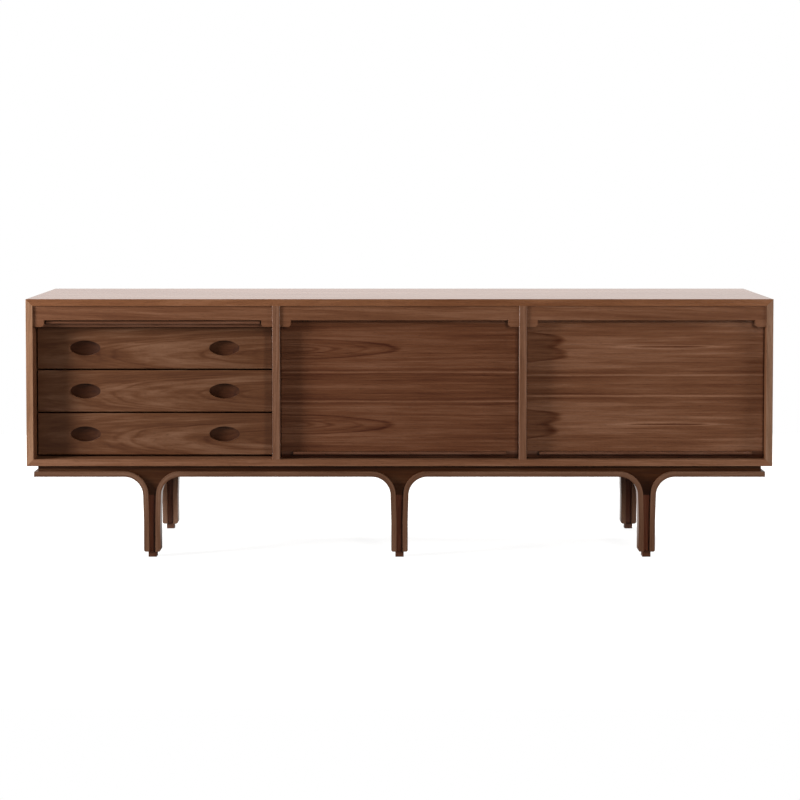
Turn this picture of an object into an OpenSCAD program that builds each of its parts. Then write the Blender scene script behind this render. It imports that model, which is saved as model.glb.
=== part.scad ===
// Long low sideboard: three equal bays with roll-up slatted doors, on a base of bent wood strips.
// Frame: origin on the floor under the middle, +X to the right, +Y to the back, +Z up. Millimetres.

/* [Case] */
// Overall width
case_w = 2300; // [2000:10:2600]
// Overall depth
case_d = 460; // [445:5:520]
// Overall height, floor to top
total_h = 800; // [740:5:815]
// Height of the base under the case
base_h = 283.5; // [272:0.5:320]
// Thickness of the top, bottom and side boards
board_t = 21; // [19:0.5:24]
// Thickness of each divider
divider_t = 23; // [20:1:28]
// Width of the eased edges
arris = 1; // [0.5:0.25:1.5]

/* [Back] */
// Thickness of each back panel
back_t = 6; // [4:1:8]
// How far the back panels sit in from the rear of the case
back_inset = 3; // [1:1:6]
// How far the back panels reach into the rabbet of the case
rabbet_d = 8; // [5:1:10]
// Gap between neighbouring back panels
back_joint = 1; // [0.5:0.5:2]

/* [Fascias] */
// Height of each fascia
fascia_h = 65; // [60:1:72]
// Thickness of each fascia
fascia_t = 18; // [12:1:20]
// How far the fascias sit behind the front of the case
fascia_inset = 4; // [2:1:6]
// Depth of the long notch in each fascia
notch_h = 20.6; // [18:0.2:24]
// Length of the ear left at each end of the notch
ear_w = 34; // [25:1:45]
// Radius of the ear's free corner
ear_r = 10; // [4:1:14]

/* [Shutter doors] */
// How far the slats' faces sit behind the front of the case
door_inset = 27; // [25:0.5:30]
// Thickness of the slats and the lead rail
slat_t = 9.2; // [8:0.2:10]
// Width of one slat
slat_w = 13.4; // [12:0.2:14]
// Gap between neighbouring slats
slat_joint = 0.4; // [0.3:0.1:0.6]
// Bevel on the slats' front edges
slat_bevel = 0.6; // [0.3:0.1:1]
// Thickness of the woven backing
backing_t = 0.8; // [0.5:0.1:1.2]
// Thickness of the tongues on the slats' and the lead rail's ends
tenon_t = 5; // [4:0.2:6]
// Gap between the shoulders of the tongues and the boards beside them
shoulder_gap = 3.2; // [1:0.1:5]
// Depth of the slats' track
track_d = 7; // [5:0.5:8]
// Play between a tongue and the track, each way
track_play = 0.3; // [0.2:0.05:0.5]
// Gap between a tongue's end and the floor of its track
end_play = 1; // [0.5:0.25:2]
// Height of the lead rail
rail_h = 19.6; // [18:0.2:24]
// Gap between the closed lead rail and the bottom board
rail_gap = 1.9; // [0.3:0.1:3]
// Height of the lead rail's lip
lip_h = 8.5; // [6:0.5:10]
// How far the lip stands out from the lead rail
lip_d = 15; // [10:0.5:18]
// Radius of the lip's front edges
lip_r = 2.5; // [1:0.5:3]
// Gap between the lip and each end of the notch
lip_end_gap = 6; // [4:0.5:10]
// Gap between the raised lip and the top of the notch
lip_head_gap = 3.6; // [2:0.2:6]

/* [Drawers] */
// How far the drawer fronts sit behind the front of the case
drawer_inset = 50; // [46:1:60]
// Gap at each side of a drawer
drawer_side_gap = 4.6; // [3:0.2:6]
// Gap under the bottom drawer
drawer_foot_gap = 7; // [4:0.5:9]
// Gap between two drawers
drawer_gap = 5; // [2:0.5:6]
// Gap above the top drawer
drawer_head_gap = 5.3; // [4:0.1:8]
// Thickness of a drawer front
front_t = 20; // [18:1:24]
// Thickness of a drawer's sides and back
box_t = 12; // [11:0.5:15]
// Gap between a shut drawer box and the back panels
drawer_back_gap = 31; // [10:1:100]
// How far the top of a drawer box lies under the top of its front
box_drop = 16; // [10:1:30]
// How far the bottom of a drawer box lies above the bottom of its front
box_rise = 8; // [5:1:15]
// Thickness of a drawer's bottom
bottom_t = 5; // [3:0.5:8]
// Height of a drawer's bottom above the lower edge of its sides
bottom_rise = 8; // [6:1:12]
// How far a drawer's bottom reaches into its groove
tongue_d = 5; // [3:0.5:6]
// Play between a drawer's bottom and its groove, up and down
bottom_play = 0.1; // [0.05:0.05:0.3]
// Height of a drawer runner
runner_h = 12; // [8:1:16]
// How far a runner reaches into the drawer's side
runner_d = 5.5; // [4:0.5:6]
// Play between a runner and its groove, each way
runner_play = 0.3; // [0.1:0.05:0.5]
// Height of a runner's middle above the lower edge of the drawer's sides
runner_rise = 58; // [40:1:75]

/* [Drawer pulls] */
// Distance of each pull from the middle of the drawer front
pull_x = 216; // [150:2:260]
// Length of a pull
pull_l = 93.6; // [80:0.2:110]
// Height of a pull
pull_h = 47; // [40:0.5:60]
// Depth of a pull at its middle
pull_d = 13; // [11:0.5:15]
// Depth of a pull at its two ends
pull_edge_d = 8; // [5:0.5:10]
// Radius of a pull's two ends
pull_end_r = 14; // [10:1:18]

/* [Shelves] */
// Thickness of a shelf
shelf_t = 18; // [15:1:22]
// Thickness of the panel under the slats' flat run
sub_top_t = 10; // [6:1:14]
// Gap at each end of a shelf
shelf_gap = 0.5; // [0.3:0.1:1]
// How far shelves and sub-tops sit behind the front of the case
shelf_inset = 48; // [44:1:60]
// Radius of a shelf pin
pin_r = 3; // [2.5:0.5:4]
// Depth of a shelf pin's hole
pin_hole_d = 8; // [6:0.5:9]
// How far a shelf pin stands out of its board
pin_out = 10; // [8:1:14]
// Radial play of a shelf pin in its hole
pin_play = 0.05; // [0.02:0.01:0.1]
// Distance of the shelf pins from the shelf's front and back edges
pin_edge = 60; // [40:5:100]

/* [Base] */
// How far the strips' ends sit in from the ends of the case
base_inset_x = 22; // [15:1:40]
// How far the outer legs stand outside the middles of the dividers
leg_out = 3.7; // [0:0.1:20]
// How far the leg frames sit in from the front and rear of the case
base_inset_y = 2; // [1:1:10]
// Thickness of a bent strip
strip_t = 15.8; // [14:0.2:16]
// Depth of a bent strip, front to back
strip_d = 40; // [34:1:50]
// Radius of the bend on its hollow side
bend_r = 58; // [50:1:70]
// Half the width of a leg just under its bends
leg_top_half = 27.7; // [27:0.1:32]
// Half the width of a leg below its ankle
leg_low_half = 25.5; // [24.5:0.1:26.5]
// Height of the ankle, where a leg stops tapering
ankle_z = 115; // [60:5:150]
// Radius of the strips' lower outer corners
strip_toe_r = 6; // [3:0.5:8]
// Height of the neck rails between the strips and the case
neck_h = 17.5; // [14:0.5:22]
// How far the core and the neck sit behind the faces of the strips
core_inset = 12; // [10:0.5:14]
// How far the neck sits in from the ends of the strips
neck_inset = 10.5; // [6:0.5:16]
// How far each web stops short of its sharp upper tips
web_tip = 10; // [6:1:16]
// Height of a foot
foot_h = 17.5; // [12:0.5:25]
// Width and depth of a foot
foot_w = 26; // [22:1:30]

/* [Hidden] */
$fn = 96;
eps = 1;
case_h = total_h - base_h;
in_x = case_w / 2 - board_t;
in_z0 = base_h + board_t;
in_z1 = total_h - board_t;
front_y = -case_d / 2;
rear_y = case_d / 2;
back_y = rear_y - back_inset - back_t;
bay_w = (2 * in_x - 2 * divider_t) / 3;
bay_pitch = bay_w + divider_t;

// Fascia and door, from the notch down
fascia_z = in_z1 - fascia_h;
notch_z = fascia_z + notch_h;
notch_l = bay_w - 2 * ear_w;
lip_l = notch_l - 2 * lip_end_gap;
rail_top = in_z0 + rail_gap + rail_h;
door_lift = notch_z - lip_head_gap - rail_top;
slat_pitch = slat_w + slat_joint;
slat_l = bay_w + 2 * (track_d - end_play);
shoulder_l = bay_w - 2 * shoulder_gap;

// Track of the slats: upright plane of the slats' backs, bend of radius track_r, flat run
slat_back_y = front_y + door_inset + slat_t;
bend_z = rail_top + door_lift + 1;
track_r = in_z1 - 0.3 - bend_z - slat_t - 2 * track_play - 0.5;
bend_y = slat_back_y + track_r;
bend_s = bend_z - in_z0;
flat_s = bend_s + track_r * PI / 2;
tenon_rise = sqrt(pow(track_r + tenon_t, 2) + pow(slat_w / 2, 2)) - track_r - tenon_t;
track_out = tenon_t + tenon_rise + track_play;
slat_s0 = rail_gap + rail_h + slat_joint;
slat_count = ceil((notch_z + 3 - rail_top) / slat_pitch);
curtain_l = slat_count * slat_pitch - slat_joint;

// Drawers
drawer_n = 3;
drawer_h = (fascia_z - in_z0 - drawer_foot_gap - drawer_head_gap - (drawer_n - 1) * drawer_gap) / drawer_n;
drawer_w = bay_w - 2 * drawer_side_gap;
drawer_y = front_y + drawer_inset;
box_y = drawer_y + front_t;
box_l = back_y - drawer_back_gap - box_y;
box_h = drawer_h - box_drop - box_rise;
runner_t = drawer_side_gap + runner_d;
pull_dish = pull_d - pull_edge_d;
pull_floor_r = (pow(pull_l / 2, 2) + pow(pull_dish, 2)) / (2 * pull_dish);
pull_end_x = pull_l / 2 - pull_end_r;
pull_side_r = (pow(pull_end_x, 2) + pow(pull_h / 2, 2) - pow(pull_end_r, 2)) / (pull_h - 2 * pull_end_r);

// Shelves
shelf_y = front_y + shelf_inset;
shelf_l = back_y - shelf_y;
shelf_z = (in_z0 + fascia_z - shelf_t) / 2;
pin_y = [shelf_y + pin_edge, back_y - pin_edge];
pin_z = shelf_z - pin_play - pin_r;

// Base
strip_z = base_h - neck_h - strip_t;
arc_z = strip_z - bend_r;
arc_x = leg_top_half + bend_r;
strip_end = case_w / 2 - base_inset_x;
neck_end = strip_end - neck_inset;
strip_y = rear_y - base_inset_y - strip_d;
core_t = strip_d - 2 * core_inset;
core_y = strip_y + core_inset;
leg_pitch = bay_pitch + leg_out;
leg_x = [-leg_pitch, 0, leg_pitch];
core_top_half = leg_top_half - strip_t;
core_low_half = leg_low_half - strip_t;

LEFT = -1;
CENTRE = 0;
RIGHT = 1;

function bay_x(bay) = bay * bay_pitch;
function drawer_z(i) = in_z0 + drawer_foot_gap + i * (drawer_h + drawer_gap);
// Turn of the track at arc length s, in degrees from upright
function track_turn(s) = s <= bend_s ? 0 : s >= flat_s ? 90 : (s - bend_s) / track_r * 180 / PI;
// Point at arc length s above the bottom board, as [y, z], on the line that bends with radius r
function track_point(s, r = track_r) =
    s <= bend_s ? [bend_y - r, in_z0 + s]
    : s >= flat_s ? [bend_y + s - flat_s, bend_z + r]
    : [bend_y - r * cos(track_turn(s)), bend_z + r * sin(track_turn(s))];

// ---- general shapes ----

// Rectangle with 45 degree corners, centred
module eased_square(w, h, e) {
    polygon([
        [-w / 2 + e, -h / 2], [w / 2 - e, -h / 2], [w / 2, -h / 2 + e], [w / 2, h / 2 - e],
        [w / 2 - e, h / 2], [-w / 2 + e, h / 2], [-w / 2, h / 2 - e], [-w / 2, -h / 2 + e]
    ]);
}

// Block with every edge eased, centred in x and y, standing on z = 0
module eased_block(w, d, h, e = arris) {
    translate([0, 0, h / 2]) intersection() {
        linear_extrude(h, center = true) eased_square(w, d, e);
        rotate([90, 0, 0]) linear_extrude(d, center = true) eased_square(w, h, e);
        rotate([90, 0, 90]) linear_extrude(w, center = true) eased_square(d, h, e);
    }
}

// Extrudes a drawing of the front view (x, z) backwards from y0 to y1
module front_view(y0, y1) {
    translate([0, y1, 0]) rotate([90, 0, 0]) linear_extrude(y1 - y0) children();
}

// Extrudes a drawing of the side view (y, z) along x from x0 to x1
module side_view(x0, x1) {
    translate([x0, 0, 0]) rotate([90, 0, 90]) linear_extrude(x1 - x0) children();
}

// What is cut off a corner at the origin to round it; the material lies towards +x, +y
module corner_cut(r) {
    difference() {
        translate([-eps, -eps]) square(r + eps);
        translate([r, r]) circle(r);
    }
}

// ---- track of the slats ----

// Side view of all that lies inside the line that bends with radius r, as far back as y_end
module track_inside(r, y_end, past) {
    translate([bend_y - r, bend_z + r]) mirror([0, 1]) difference() {
        square([y_end + past - bend_y + r, bend_z + r - in_z0 + past]);
        corner_cut(r);
    }
}

// Side view of the band between the lines that bend with r_in and r_out, as far back as y_end
module track_band(r_in, r_out, y_end) {
    difference() {
        track_inside(r_out, y_end, eps);
        track_inside(r_in, y_end, 2 * eps);
    }
}

// Groove for the tongues between x0 and x1, open at the rear for putting the curtain in
module track_groove(x0, x1) {
    side_view(x0, x1) track_band(track_r - track_play, track_r + track_out, rear_y);
}

// Holes for the shelf pins between x0 and x1
module pin_holes(x0, x1) {
    for (y = pin_y) translate([x0, y, pin_z]) rotate([0, 90, 0]) cylinder(r = pin_r, h = x1 - x0);
}

// ---- case ----

// The outside of the case as one eased block, kept where the children's front view lies
module case_board() {
    difference() {
        intersection() {
            translate([0, 0, base_h]) eased_block(case_w, case_d, case_h);
            front_view(front_y - eps, rear_y + eps) children();
        }
        translate([-in_x - rabbet_d, back_y, in_z0 - rabbet_d])
            cube([2 * (in_x + rabbet_d), case_d, in_z1 - in_z0 + 2 * rabbet_d]);
    }
}

module top_panel() {
    color("#6b4a37") case_board() polygon([
        [-case_w / 2, total_h], [case_w / 2, total_h], [in_x, in_z1], [-in_x, in_z1]
    ]);
}

module bottom_panel() {
    color("#5f4130") case_board() polygon([
        [-case_w / 2, base_h], [case_w / 2, base_h], [in_x, in_z0], [-in_x, in_z0]
    ]);
}

module side_board(side) {
    color("#654534") difference() {
        case_board() polygon([
            [side * case_w / 2, base_h], [side * case_w / 2, total_h],
            [side * in_x, in_z1], [side * in_x, in_z0]
        ]);
        if (side < 0) {
            track_groove(-in_x - track_d, -in_x + eps);
        } else {
            track_groove(in_x - eps, in_x + track_d);
            pin_holes(in_x - eps, in_x + pin_hole_d);
        }
    }
}

// Divider right of the bay given, grooved on both faces; pins only in the shelved bays
module divider(bay) {
    x0 = bay_x(bay) + bay_w / 2;
    x1 = x0 + divider_t;
    color("#5c3f30") difference() {
        linear_extrude(in_z1 - in_z0) polygon([
            [x0 + arris, front_y], [x1 - arris, front_y], [x1, front_y + arris],
            [x1, back_y], [x0, back_y], [x0, front_y + arris]
        ]);
        translate([0, 0, -in_z0]) {
            track_groove(x0 - eps, x0 + track_d);
            track_groove(x1 - track_d, x1 + eps);
            if (bay == CENTRE) pin_holes(x0 - eps, x0 + pin_hole_d);
            pin_holes(x1 - pin_hole_d, x1 + eps);
        }
    }
}

module left_divider() {
    translate([0, 0, in_z0]) divider(LEFT);
}

module right_divider() {
    translate([0, 0, in_z0]) divider(CENTRE);
}

module back_panel(bay) {
    seam = bay_pitch / 2 - back_joint / 2;
    edge = in_x + rabbet_d - back_joint / 2;
    x0 = bay == LEFT ? -edge : bay_x(bay) - seam;
    x1 = bay == RIGHT ? edge : bay_x(bay) + seam;
    z0 = in_z0 - rabbet_d + back_joint / 2;
    z1 = in_z1 + rabbet_d - back_joint / 2;
    color("#5a3d2d") translate([x0, back_y, z0]) cube([x1 - x0, back_t, z1 - z0]);
}

// Fascia with a long notch between two ears whose free corners are rounded
module fascia(bay) {
    color("#5b3e2f") translate([bay_x(bay), 0, 0])
        front_view(front_y + fascia_inset, front_y + fascia_inset + fascia_t) difference() {
            translate([-bay_w / 2, fascia_z]) square([bay_w, fascia_h]);
            translate([-notch_l / 2, fascia_z - eps]) square([notch_l, notch_h + eps]);
            for (side = [-1, 1]) translate([side * notch_l / 2, fascia_z]) scale_x(side) corner_cut(ear_r);
        }
}

// Mirrors a drawing to the other side of x = 0 when side is negative
module scale_x(side) {
    if (side < 0) mirror([1, 0]) children();
    else children();
}

module sub_top(bay) {
    color("#7a5a44") translate([bay_x(bay) - bay_w / 2, shelf_y, fascia_z])
        cube([bay_w, shelf_l, sub_top_t]);
}

module shelf(bay) {
    color("#6a4a38") translate([bay_x(bay), shelf_y + shelf_l / 2, shelf_z])
        eased_block(bay_w - 2 * shelf_gap, shelf_l, shelf_t);
}

// Two pins at each end of the two shelves
module shelf_pins() {
    color("silver") for (bay = [CENTRE, RIGHT], side = [-1, 1], y = pin_y)
        translate([bay_x(bay) + side * (bay_w / 2 + pin_hole_d), y, pin_z]) rotate([0, -side * 90, 0])
            cylinder(r = pin_r - pin_play, h = pin_hole_d + pin_out);
}

// ---- shutter doors ----

// Rail that leads the slats, with the lip that is the door's pull; lift is its height above closed
module lead_rail(bay, lift) {
    color("#553a2c") translate([bay_x(bay), 0, lift]) {
        translate([-shoulder_l / 2, slat_back_y - slat_t, rail_top - rail_h]) cube([shoulder_l, slat_t, rail_h]);
        translate([-slat_l / 2, slat_back_y - tenon_t, rail_top - rail_h]) cube([slat_l, tenon_t, rail_h]);
        side_view(-lip_l / 2, lip_l / 2) translate([slat_back_y - slat_t - lip_d, rail_top - lip_h]) {
            translate([lip_r, 0]) square([lip_d - lip_r + 0.01, lip_h]);
            translate([0, lip_r]) square([lip_d, lip_h - 2 * lip_r]);
            for (z = [lip_r, lip_h - lip_r]) translate([lip_r, z]) circle(lip_r);
        }
    }
}

// Slats along the track, the first one just above the lead rail lifted by lift
module door_slats(bay, lift) {
    color("#5a3e2f") for (i = [0 : slat_count - 1]) {
        s = slat_s0 + lift + i * slat_pitch + slat_w / 2;
        at = track_point(s);
        translate([bay_x(bay), at[0], at[1]]) rotate([-track_turn(s), 0, 0]) {
            side_view(-shoulder_l / 2, shoulder_l / 2) polygon([
                [0, -slat_w / 2], [0, slat_w / 2], [-slat_t + slat_bevel, slat_w / 2],
                [-slat_t, slat_w / 2 - slat_bevel], [-slat_t, -slat_w / 2 + slat_bevel],
                [-slat_t + slat_bevel, -slat_w / 2]
            ]);
            translate([-slat_l / 2, -tenon_t, -slat_w / 2]) cube([slat_l, tenon_t, slat_w]);
        }
    }
}

// Woven backing on the inner side of the slats, from the first slat to the last
module door_backing(bay, lift) {
    s0 = slat_s0 + lift;
    s1 = s0 + curtain_l;
    stops = [s0, bend_s, (bend_s + flat_s) / 2, flat_s, s1];
    far = 2 * track_r;
    color("#b8ab93") translate([bay_x(bay), 0, 0])
        side_view(-bay_w / 2 + end_play, bay_w / 2 - end_play) intersection() {
            track_band(track_r - backing_t, track_r, max(track_point(s1)[0], rear_y));
            polygon(concat(
                [for (s = stops) if (s >= s0 && s <= s1) track_point(s, far)],
                [track_point(s1, 0), track_point(s0, 0)]
            ));
        }
}

// ---- drawers ----

// Outline of a pull: two flat arcs that run into the ends, whose arcs stand proud of them by a hair
module pull_outline() {
    intersection() {
        translate([0, pull_h / 2 - pull_side_r]) circle(pull_side_r);
        translate([0, pull_side_r - pull_h / 2]) circle(pull_side_r);
        square([2 * pull_end_x * pull_side_r / (pull_side_r - pull_end_r), pull_h + eps], center = true);
    }
    for (side = [-1, 1]) translate([side * pull_end_x, 0]) circle(pull_end_r + 0.02);
}

// What a pull leaves out of a front whose face is y = 0: upright walls and a dished floor
module pull_cut() {
    intersection() {
        front_view(-eps, pull_d + eps) pull_outline();
        translate([0, pull_d - pull_floor_r, 0]) sphere(pull_floor_r);
    }
}

// Front with two finger pulls, and a groove behind for the bottom of its box
module drawer_front(i) {
    groove_h = bottom_t + 2 * bottom_play;
    color("#6a4938") translate([bay_x(LEFT), drawer_y, drawer_z(i)]) difference() {
        translate([0, front_t / 2, 0]) eased_block(drawer_w, front_t, drawer_h);
        for (side = [-1, 1]) translate([side * pull_x, 0, drawer_h / 2]) pull_cut();
        translate([-drawer_w / 2 + box_t - tongue_d, front_t - tongue_d, box_rise + bottom_rise - bottom_play])
            cube([drawer_w - 2 * box_t + 2 * tongue_d, tongue_d + eps, groove_h]);
    }
}

// Side with a groove for the runner outside and one for the bottom inside; side is -1 or 1
module drawer_side(i, side) {
    outer = side * drawer_w / 2;
    groove_d = runner_d + runner_play;
    color("#c9ab84") translate([bay_x(LEFT), box_y, drawer_z(i) + box_rise]) difference() {
        translate([min(outer, outer - side * box_t), 0, 0]) cube([box_t, box_l, box_h]);
        translate([outer - (side > 0 ? groove_d : eps), -eps, runner_rise - runner_h / 2 - runner_play])
            cube([groove_d + eps, box_l + 2 * eps, runner_h + 2 * runner_play]);
        translate([outer - side * box_t - (side > 0 ? eps : tongue_d), -eps, bottom_rise - bottom_play])
            cube([tongue_d + eps, box_l + 2 * eps, bottom_t + 2 * bottom_play]);
    }
}

// Back standing on the bottom, between the sides
module drawer_back(i) {
    z0 = bottom_rise + bottom_t + bottom_play;
    color("#c9ab84") translate([bay_x(LEFT) - drawer_w / 2 + box_t, box_y + box_l - box_t, drawer_z(i) + box_rise + z0])
        cube([drawer_w - 2 * box_t, box_t, box_h - z0]);
}

module drawer_base(i) {
    in_groove = tongue_d - 0.5;
    base_w = drawer_w - 2 * box_t + 2 * in_groove;
    color("#d2bb97") translate([bay_x(LEFT) - base_w / 2, box_y - in_groove, drawer_z(i) + box_rise + bottom_rise])
        cube([base_w, box_l + in_groove, bottom_t]);
}

// Hardwood runners on the left side board and the left divider, two for each drawer
module drawer_runners() {
    y0 = box_y + 2;
    color("#c2a075") for (i = [0 : drawer_n - 1], side = [-1, 1])
        translate([bay_x(LEFT) + side * (bay_w - runner_t) / 2, (y0 + back_y - 2) / 2,
                drawer_z(i) + box_rise + runner_rise - runner_h / 2])
            eased_block(runner_t, back_y - 2 - y0, runner_h);
}

// ---- base ----

// Outline of the strip on the right of a leg's middle, from its top end down the leg and up to the bend
function strip_outline() = [
    [core_top_half, strip_z + strip_t], [core_top_half, arc_z], [core_low_half, ankle_z],
    [core_low_half, foot_h], [leg_low_half, foot_h], [leg_low_half, ankle_z],
    [leg_top_half, arc_z], [arc_x, arc_z], [arc_x, strip_z]
];

// Places the children, drawn for the strip on the right of a leg, at the leg and side given
module at_leg(x, side) {
    translate([x, 0]) scale_x(side) children();
}

// What is cut from an outline to leave the bend round inside and out, and the toe rounded
module strip_cuts() {
    translate([arc_x, arc_z]) circle(bend_r);
    difference() {
        translate([core_top_half - eps, arc_z]) square([arc_x - core_top_half + eps, bend_r + strip_t + eps]);
        translate([arc_x, arc_z]) circle(bend_r + strip_t);
    }
    translate([leg_low_half, foot_h]) mirror([1, 0]) corner_cut(strip_toe_r);
}

// Arch from leg i to the next leg on its right
module arch(i, end) {
    x0 = leg_x[i];
    x1 = leg_x[i + 1];
    left_half = [for (p = strip_outline()) [x0 + p[0], p[1]]];
    right_half = [for (k = [len(strip_outline()) - 1 : -1 : 0]) [x1 - strip_outline()[k][0], strip_outline()[k][1]]];
    color("#6d4a38") base_depth(end) difference() {
        polygon(concat(left_half, right_half));
        at_leg(x0, 1) strip_cuts();
        at_leg(x1, -1) strip_cuts();
    }
}

// Strip from an outer leg to the end of the frame; side is -1 or 1
module end_strip(side, end) {
    reach = strip_end - leg_pitch;
    color("#6d4a38") base_depth(end) at_leg(side * leg_pitch, side) difference() {
        polygon(concat(strip_outline(), [[reach, strip_z], [reach, strip_z + strip_t]]));
        strip_cuts();
    }
}

// Gives a front view the depth of a strip, at the front (end = -1) or the rear (end = 1)
module base_depth(end) {
    y = end * (strip_y + strip_d / 2);
    front_view(y - strip_d / 2, y + strip_d / 2) children();
}

// The same for what lies between the strips
module core_depth(end) {
    y = end * (core_y + core_t / 2);
    front_view(y - core_t / 2, y + core_t / 2) children();
}

module neck_rail(end) {
    color("#4a3226") core_depth(end) translate([-neck_end, base_h - neck_h]) square([2 * neck_end, neck_h]);
}

// Cores between the two strips of each leg
module leg_cores() {
    color("#553a2c") for (x = leg_x, end = [-1, 1]) core_depth(end) translate([x, 0]) polygon([
        [-core_top_half, arc_z], [-core_low_half, ankle_z], [-core_low_half, foot_h],
        [core_low_half, foot_h], [core_low_half, ankle_z], [core_top_half, arc_z]
    ]);
}

// Webs that fill the space between two bends, under the neck rail
module leg_webs() {
    half = arc_x - web_tip;
    color("#553a2c") for (x = leg_x, end = [-1, 1]) core_depth(end) translate([x, 0]) difference() {
        translate([-half, arc_z]) square([2 * half, bend_r + strip_t]);
        for (side = [-1, 1]) translate([side * arc_x, arc_z]) circle(bend_r + strip_t);
    }
}

// Rails along the ends, between the front and the rear frame
module end_rails() {
    color("#6d4a38") for (side = [-1, 1])
        translate([side * (strip_end - strip_d / 2), 0, strip_z + strip_t / 2])
            cube([strip_d, 2 * strip_y, strip_t], center = true);
}

// Cross rails between the two neck rails: a deep one at each leg and a shallow one at each end
module cross_rails() {
    end_x = neck_end - core_t / 2;
    color("#4a3226") {
        for (x = leg_x) translate([x - core_top_half, -core_y, arc_z])
            cube([2 * core_top_half, 2 * core_y, base_h - arc_z]);
        for (side = [-1, 1]) translate([side * end_x - core_t / 2, -core_y, base_h - neck_h])
            cube([core_t, 2 * core_y, neck_h]);
    }
}

module feet() {
    color("#5f4130") for (x = leg_x, end = [-1, 1]) translate([x, end * (strip_y + strip_d / 2), 0])
        eased_block(foot_w, foot_w, foot_h);
}

top_panel();
bottom_panel();
side_board(LEFT);  // left_side
side_board(RIGHT);  // right_side
left_divider();
right_divider();
back_panel(LEFT);  // left_back_panel
back_panel(CENTRE);  // centre_back_panel
back_panel(RIGHT);  // right_back_panel
fascia(LEFT);  // left_fascia
fascia(CENTRE);  // centre_fascia
fascia(RIGHT);  // right_fascia
sub_top(LEFT);  // left_sub_top
sub_top(CENTRE);  // centre_sub_top
sub_top(RIGHT);  // right_sub_top
shelf(CENTRE);  // centre_shelf
shelf(RIGHT);  // right_shelf
shelf_pins();
drawer_runners();
lead_rail(LEFT, door_lift);  // left_lead_rail
door_slats(LEFT, door_lift);  // left_door_slats
door_backing(LEFT, door_lift);  // left_door_backing
lead_rail(CENTRE, 0);  // centre_lead_rail
door_slats(CENTRE, 0);  // centre_door_slats
door_backing(CENTRE, 0);  // centre_door_backing
lead_rail(RIGHT, 0);  // right_lead_rail
door_slats(RIGHT, 0);  // right_door_slats
door_backing(RIGHT, 0);  // right_door_backing
drawer_front(0);  // bottom_drawer_front
drawer_side(0, LEFT);  // bottom_drawer_left_side
drawer_side(0, RIGHT);  // bottom_drawer_right_side
drawer_back(0);  // bottom_drawer_back
drawer_base(0);  // bottom_drawer_base
drawer_front(1);  // middle_drawer_front
drawer_side(1, LEFT);  // middle_drawer_left_side
drawer_side(1, RIGHT);  // middle_drawer_right_side
drawer_back(1);  // middle_drawer_back
drawer_base(1);  // middle_drawer_base
drawer_front(2);  // top_drawer_front
drawer_side(2, LEFT);  // top_drawer_left_side
drawer_side(2, RIGHT);  // top_drawer_right_side
drawer_back(2);  // top_drawer_back
drawer_base(2);  // top_drawer_base
end_strip(LEFT, -1);  // front_left_end_strip
arch(0, -1);  // front_left_arch
arch(1, -1);  // front_right_arch
end_strip(RIGHT, -1);  // front_right_end_strip
end_strip(LEFT, 1);  // rear_left_end_strip
arch(0, 1);  // rear_left_arch
arch(1, 1);  // rear_right_arch
end_strip(RIGHT, 1);  // rear_right_end_strip
neck_rail(-1);  // front_neck_rail
neck_rail(1);  // rear_neck_rail
leg_cores();
leg_webs();
end_rails();
cross_rails();
feet();
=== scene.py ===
"""Long low walnut sideboard: three bays with roll-up slatted doors, on a base of bent strips.

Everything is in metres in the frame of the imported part: +X to the right, +Y to the back, +Z up.
The finishes measure their patterns in millimetres.
"""

import logging
import math
from abc import ABC, abstractmethod
from dataclasses import dataclass, field
from enum import Enum

import bmesh
import bpy
import numpy as np
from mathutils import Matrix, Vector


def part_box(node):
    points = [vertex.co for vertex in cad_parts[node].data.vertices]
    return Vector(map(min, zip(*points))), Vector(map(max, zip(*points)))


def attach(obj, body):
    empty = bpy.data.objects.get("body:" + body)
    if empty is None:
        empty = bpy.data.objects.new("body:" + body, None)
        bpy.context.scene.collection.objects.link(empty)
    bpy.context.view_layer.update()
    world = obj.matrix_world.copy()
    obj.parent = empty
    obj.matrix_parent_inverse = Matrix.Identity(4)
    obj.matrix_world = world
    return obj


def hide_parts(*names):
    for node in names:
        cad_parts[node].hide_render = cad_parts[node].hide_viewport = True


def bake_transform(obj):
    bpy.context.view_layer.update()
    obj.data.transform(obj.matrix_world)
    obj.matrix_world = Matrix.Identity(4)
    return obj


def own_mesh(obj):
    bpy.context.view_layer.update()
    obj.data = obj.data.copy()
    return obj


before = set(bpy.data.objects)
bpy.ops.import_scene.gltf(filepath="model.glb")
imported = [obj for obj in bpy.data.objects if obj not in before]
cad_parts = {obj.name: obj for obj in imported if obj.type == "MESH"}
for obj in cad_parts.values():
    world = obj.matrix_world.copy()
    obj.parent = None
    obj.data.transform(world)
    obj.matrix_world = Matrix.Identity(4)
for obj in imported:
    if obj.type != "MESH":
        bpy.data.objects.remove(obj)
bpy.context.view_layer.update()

Socket = bpy.types.NodeSocket
Node = bpy.types.Node
Tree = bpy.types.NodeTree
Material = bpy.types.Material
Piece = bpy.types.Object
Point = tuple[float, float, float]
Point2 = tuple[float, float]
Outline = list[Point2]  # (y, z) of each corner, going round once
Bar = tuple[Outline, float, float]  # an outline and the left and right end of a bar along X
Marks = tuple[Point2, ...]  # a distance in mm and a tone from -1 to 1 for each mark
Link = Node | Socket  # an output, or a node that stands for its first live one
Spot = tuple[Link, Link, Link]  # along the grain, across it and through the veneer, mm

LOG = logging.getLogger("sideboard")
MM = 0.001
LAID_NAME = "laid_place"  # the mesh attribute that says where a point lies when its door is shut
MIX_A, MIX_B = 6, 7  # the inputs of a Mix node that take its two colours


# ---- nodes ----


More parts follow.
